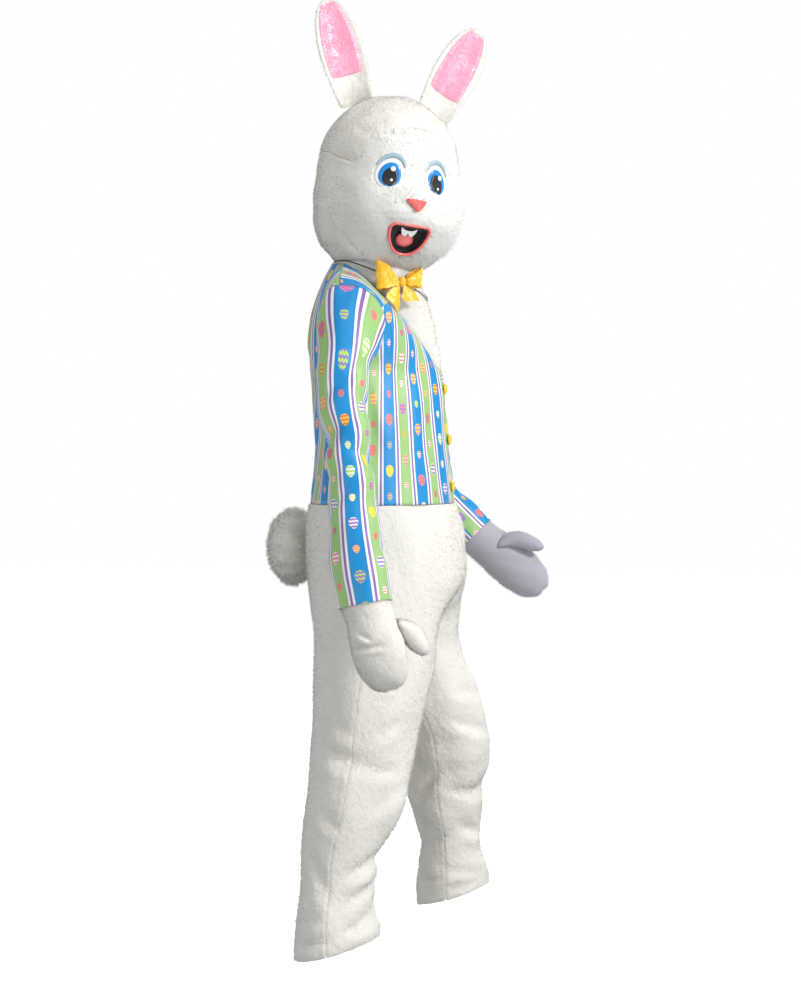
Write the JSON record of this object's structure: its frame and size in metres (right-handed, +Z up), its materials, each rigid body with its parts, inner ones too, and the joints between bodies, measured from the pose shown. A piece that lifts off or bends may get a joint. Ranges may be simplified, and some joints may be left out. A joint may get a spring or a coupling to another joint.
{
  "type": "easter bunny costume",
  "caption": "Full-body rabbit costume with striped satin top, plush trousers, bow tie, pompom tail, mittens and furry mask with long ears.",
  "frame": {"origin": "base of the neck, between the shoulders, where the wearer carries the costume", "axes": "+Z up along the wearer; the costume faces -Y; the wearer's right hand is at -X"},
  "size_m": [0.7466, 0.5348, 1.8893],
  "materials": {
    "satin_stripe": "printed polyester satin in blue, green and violet stripes with a few plain decorated eggs",
    "plush_white": "short off-white plush",
    "fur_white": "long white fur",
    "knit_grey": "smooth grey knit",
    "satin_yellow": "yellow satin",
    "plastic_yellow": "glossy moulded button",
    "satin_pink": "shiny pink satin",
    "coral": "painted moulded sheet",
    "black": "black moulded sheet and cord",
    "eye_white": "painted moulded sheet",
    "eye_blue": "painted moulded sheet",
    "lid_grey": "painted moulded sheet"
  },
  "bodies": {
    "root": {"bodice_back_l": "satin_stripe", "bodice_back_r": "satin_stripe", "bodice_front_l": "satin_stripe", "bodice_front_r": "satin_stripe", "bow_elastic": "black", "bow_knot": "satin_yellow", "bow_loop_l": "satin_yellow", "bow_loop_r": "satin_yellow", "bow_tail_l": "satin_yellow", "bow_tail_r": "satin_yellow", "button_1": "plastic_yellow", "button_2": "plastic_yellow", "button_3": "plastic_yellow", "chest_inset": "plush_white", "ear_back_l": "plush_white", "ear_back_r": "plush_white", "ear_lining_l": "satin_pink", "ear_lining_r": "satin_pink", "eye_iris_l": "eye_blue", "eye_iris_r": "eye_blue", "eye_lid_l": "lid_grey", "eye_lid_r": "lid_grey", "eye_pupil_l": "black", "eye_pupil_r": "black", "eye_white_l": "eye_white", "eye_white_r": "eye_white", "mask_back": "plush_white", "mask_cap": "plush_white", "mask_face": "fur_white", "mitten_back_l": "plush_white", "mitten_back_r": "plush_white", "mitten_palm_l": "knit_grey", "mitten_palm_r": "knit_grey", "mitten_thumb_l": "plush_white", "mitten_thumb_r": "plush_white", "mouth_lining": "black", "mouth_lip": "coral", "mouth_teeth": "eye_white", "mouth_tongue": "coral", "nose": "coral", "sleeve_l": "satin_stripe", "sleeve_r": "satin_stripe", "tail": "plush_white", "trouser_back_l": "plush_white", "trouser_back_r": "plush_white", "trouser_front_l": "plush_white", "trouser_front_r": "plush_white"}
  },
  "joints": []
}
